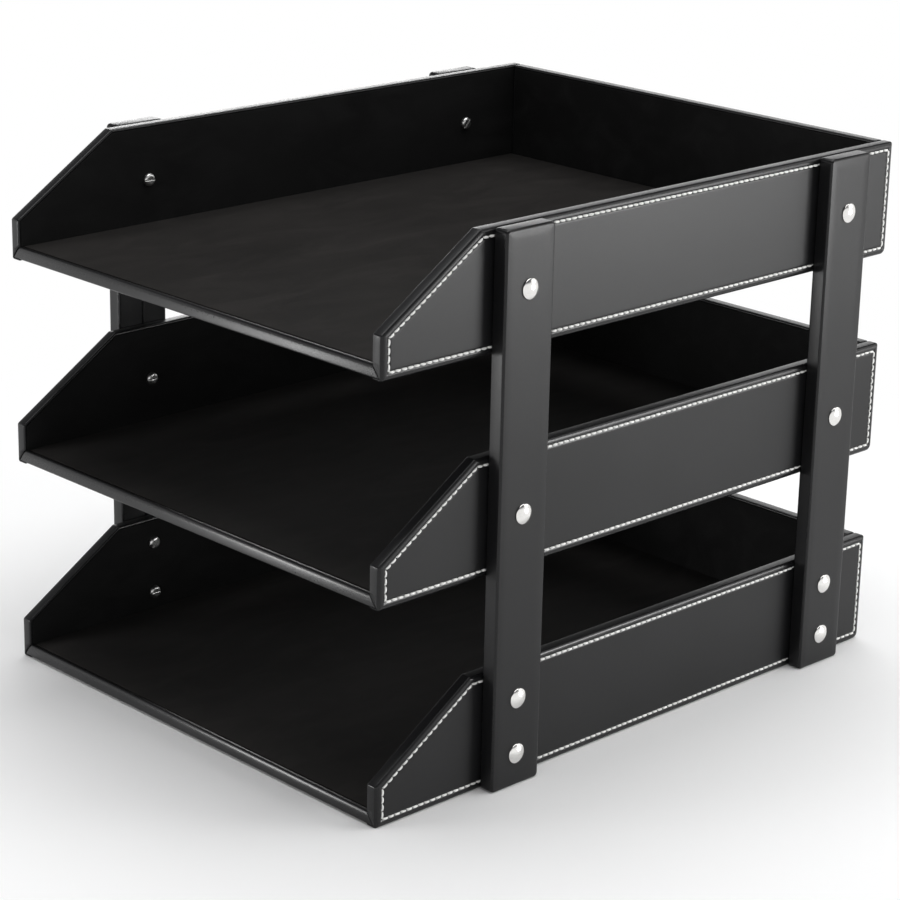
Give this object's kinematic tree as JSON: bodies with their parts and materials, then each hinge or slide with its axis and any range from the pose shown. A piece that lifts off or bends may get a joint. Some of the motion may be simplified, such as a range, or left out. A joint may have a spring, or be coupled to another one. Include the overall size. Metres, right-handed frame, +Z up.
{
  "type": "three-tier letter tray",
  "caption": "Desk tower of open-front letter trays in stitched black leather with a dark matt lining, held between leather-wrapped uprights by domed screw posts.",
  "frame": {"origin": "on the surface it stands on, at the centre of the footprint", "axes": "+X to the right-hand side wall seen from the open front, +Y from the open front to the back wall, +Z up"},
  "size_m": [0.2764, 0.33, 0.255],
  "materials": {
    "leather": "black imitation leather, fine pebble grain, satin sheen",
    "wall_lining": "matt black suede-like cloth",
    "floor_lining": "matt brown-black suede-like cloth",
    "board": "raw medium-density fibreboard",
    "nickel": "polished nickel plate",
    "screw_steel": "bright zinc plate, lightly worn slot",
    "thread": "off-white waxed thread"
  },
  "bodies": {
    "root": {"bottom_back_board": "board", "bottom_back_cover": "leather", "bottom_back_lining": "wall_lining", "bottom_base_board": "board", "bottom_base_cover": "leather", "bottom_floor_lining": "floor_lining", "bottom_left_side_board": "board", "bottom_left_side_cover": "leather", "bottom_left_side_lining": "wall_lining", "bottom_right_side_board": "board", "bottom_right_side_cover": "leather", "bottom_right_side_lining": "wall_lining", "bottom_screw_posts": "nickel", "bottom_screws": "screw_steel", "front_left_upright_board": "board", "front_left_upright_cover": "leather", "front_right_upright_board": "board", "front_right_upright_cover": "leather", "middle_back_board": "board", "middle_back_cover": "leather", "middle_back_lining": "wall_lining", "middle_base_board": "board", "middle_base_cover": "leather", "middle_floor_lining": "floor_lining", "middle_left_side_board": "board", "middle_left_side_cover": "leather", "middle_left_side_lining": "wall_lining", "middle_right_side_board": "board", "middle_right_side_cover": "leather", "middle_right_side_lining": "wall_lining", "middle_screw_posts": "nickel", "middle_screws": "screw_steel", "rear_left_upright_board": "board", "rear_left_upright_cover": "leather", "rear_right_upright_board": "board", "rear_right_upright_cover": "leather", "top_back_board": "board", "top_back_cover": "leather", "top_back_lining": "wall_lining", "top_base_board": "board", "top_base_cover": "leather", "top_floor_lining": "floor_lining", "top_left_side_board": "board", "top_left_side_cover": "leather", "top_left_side_lining": "wall_lining", "top_right_side_board": "board", "top_right_side_cover": "leather", "top_right_side_lining": "wall_lining", "top_screw_posts": "nickel", "top_screws": "screw_steel"}
  },
  "joints": []
}
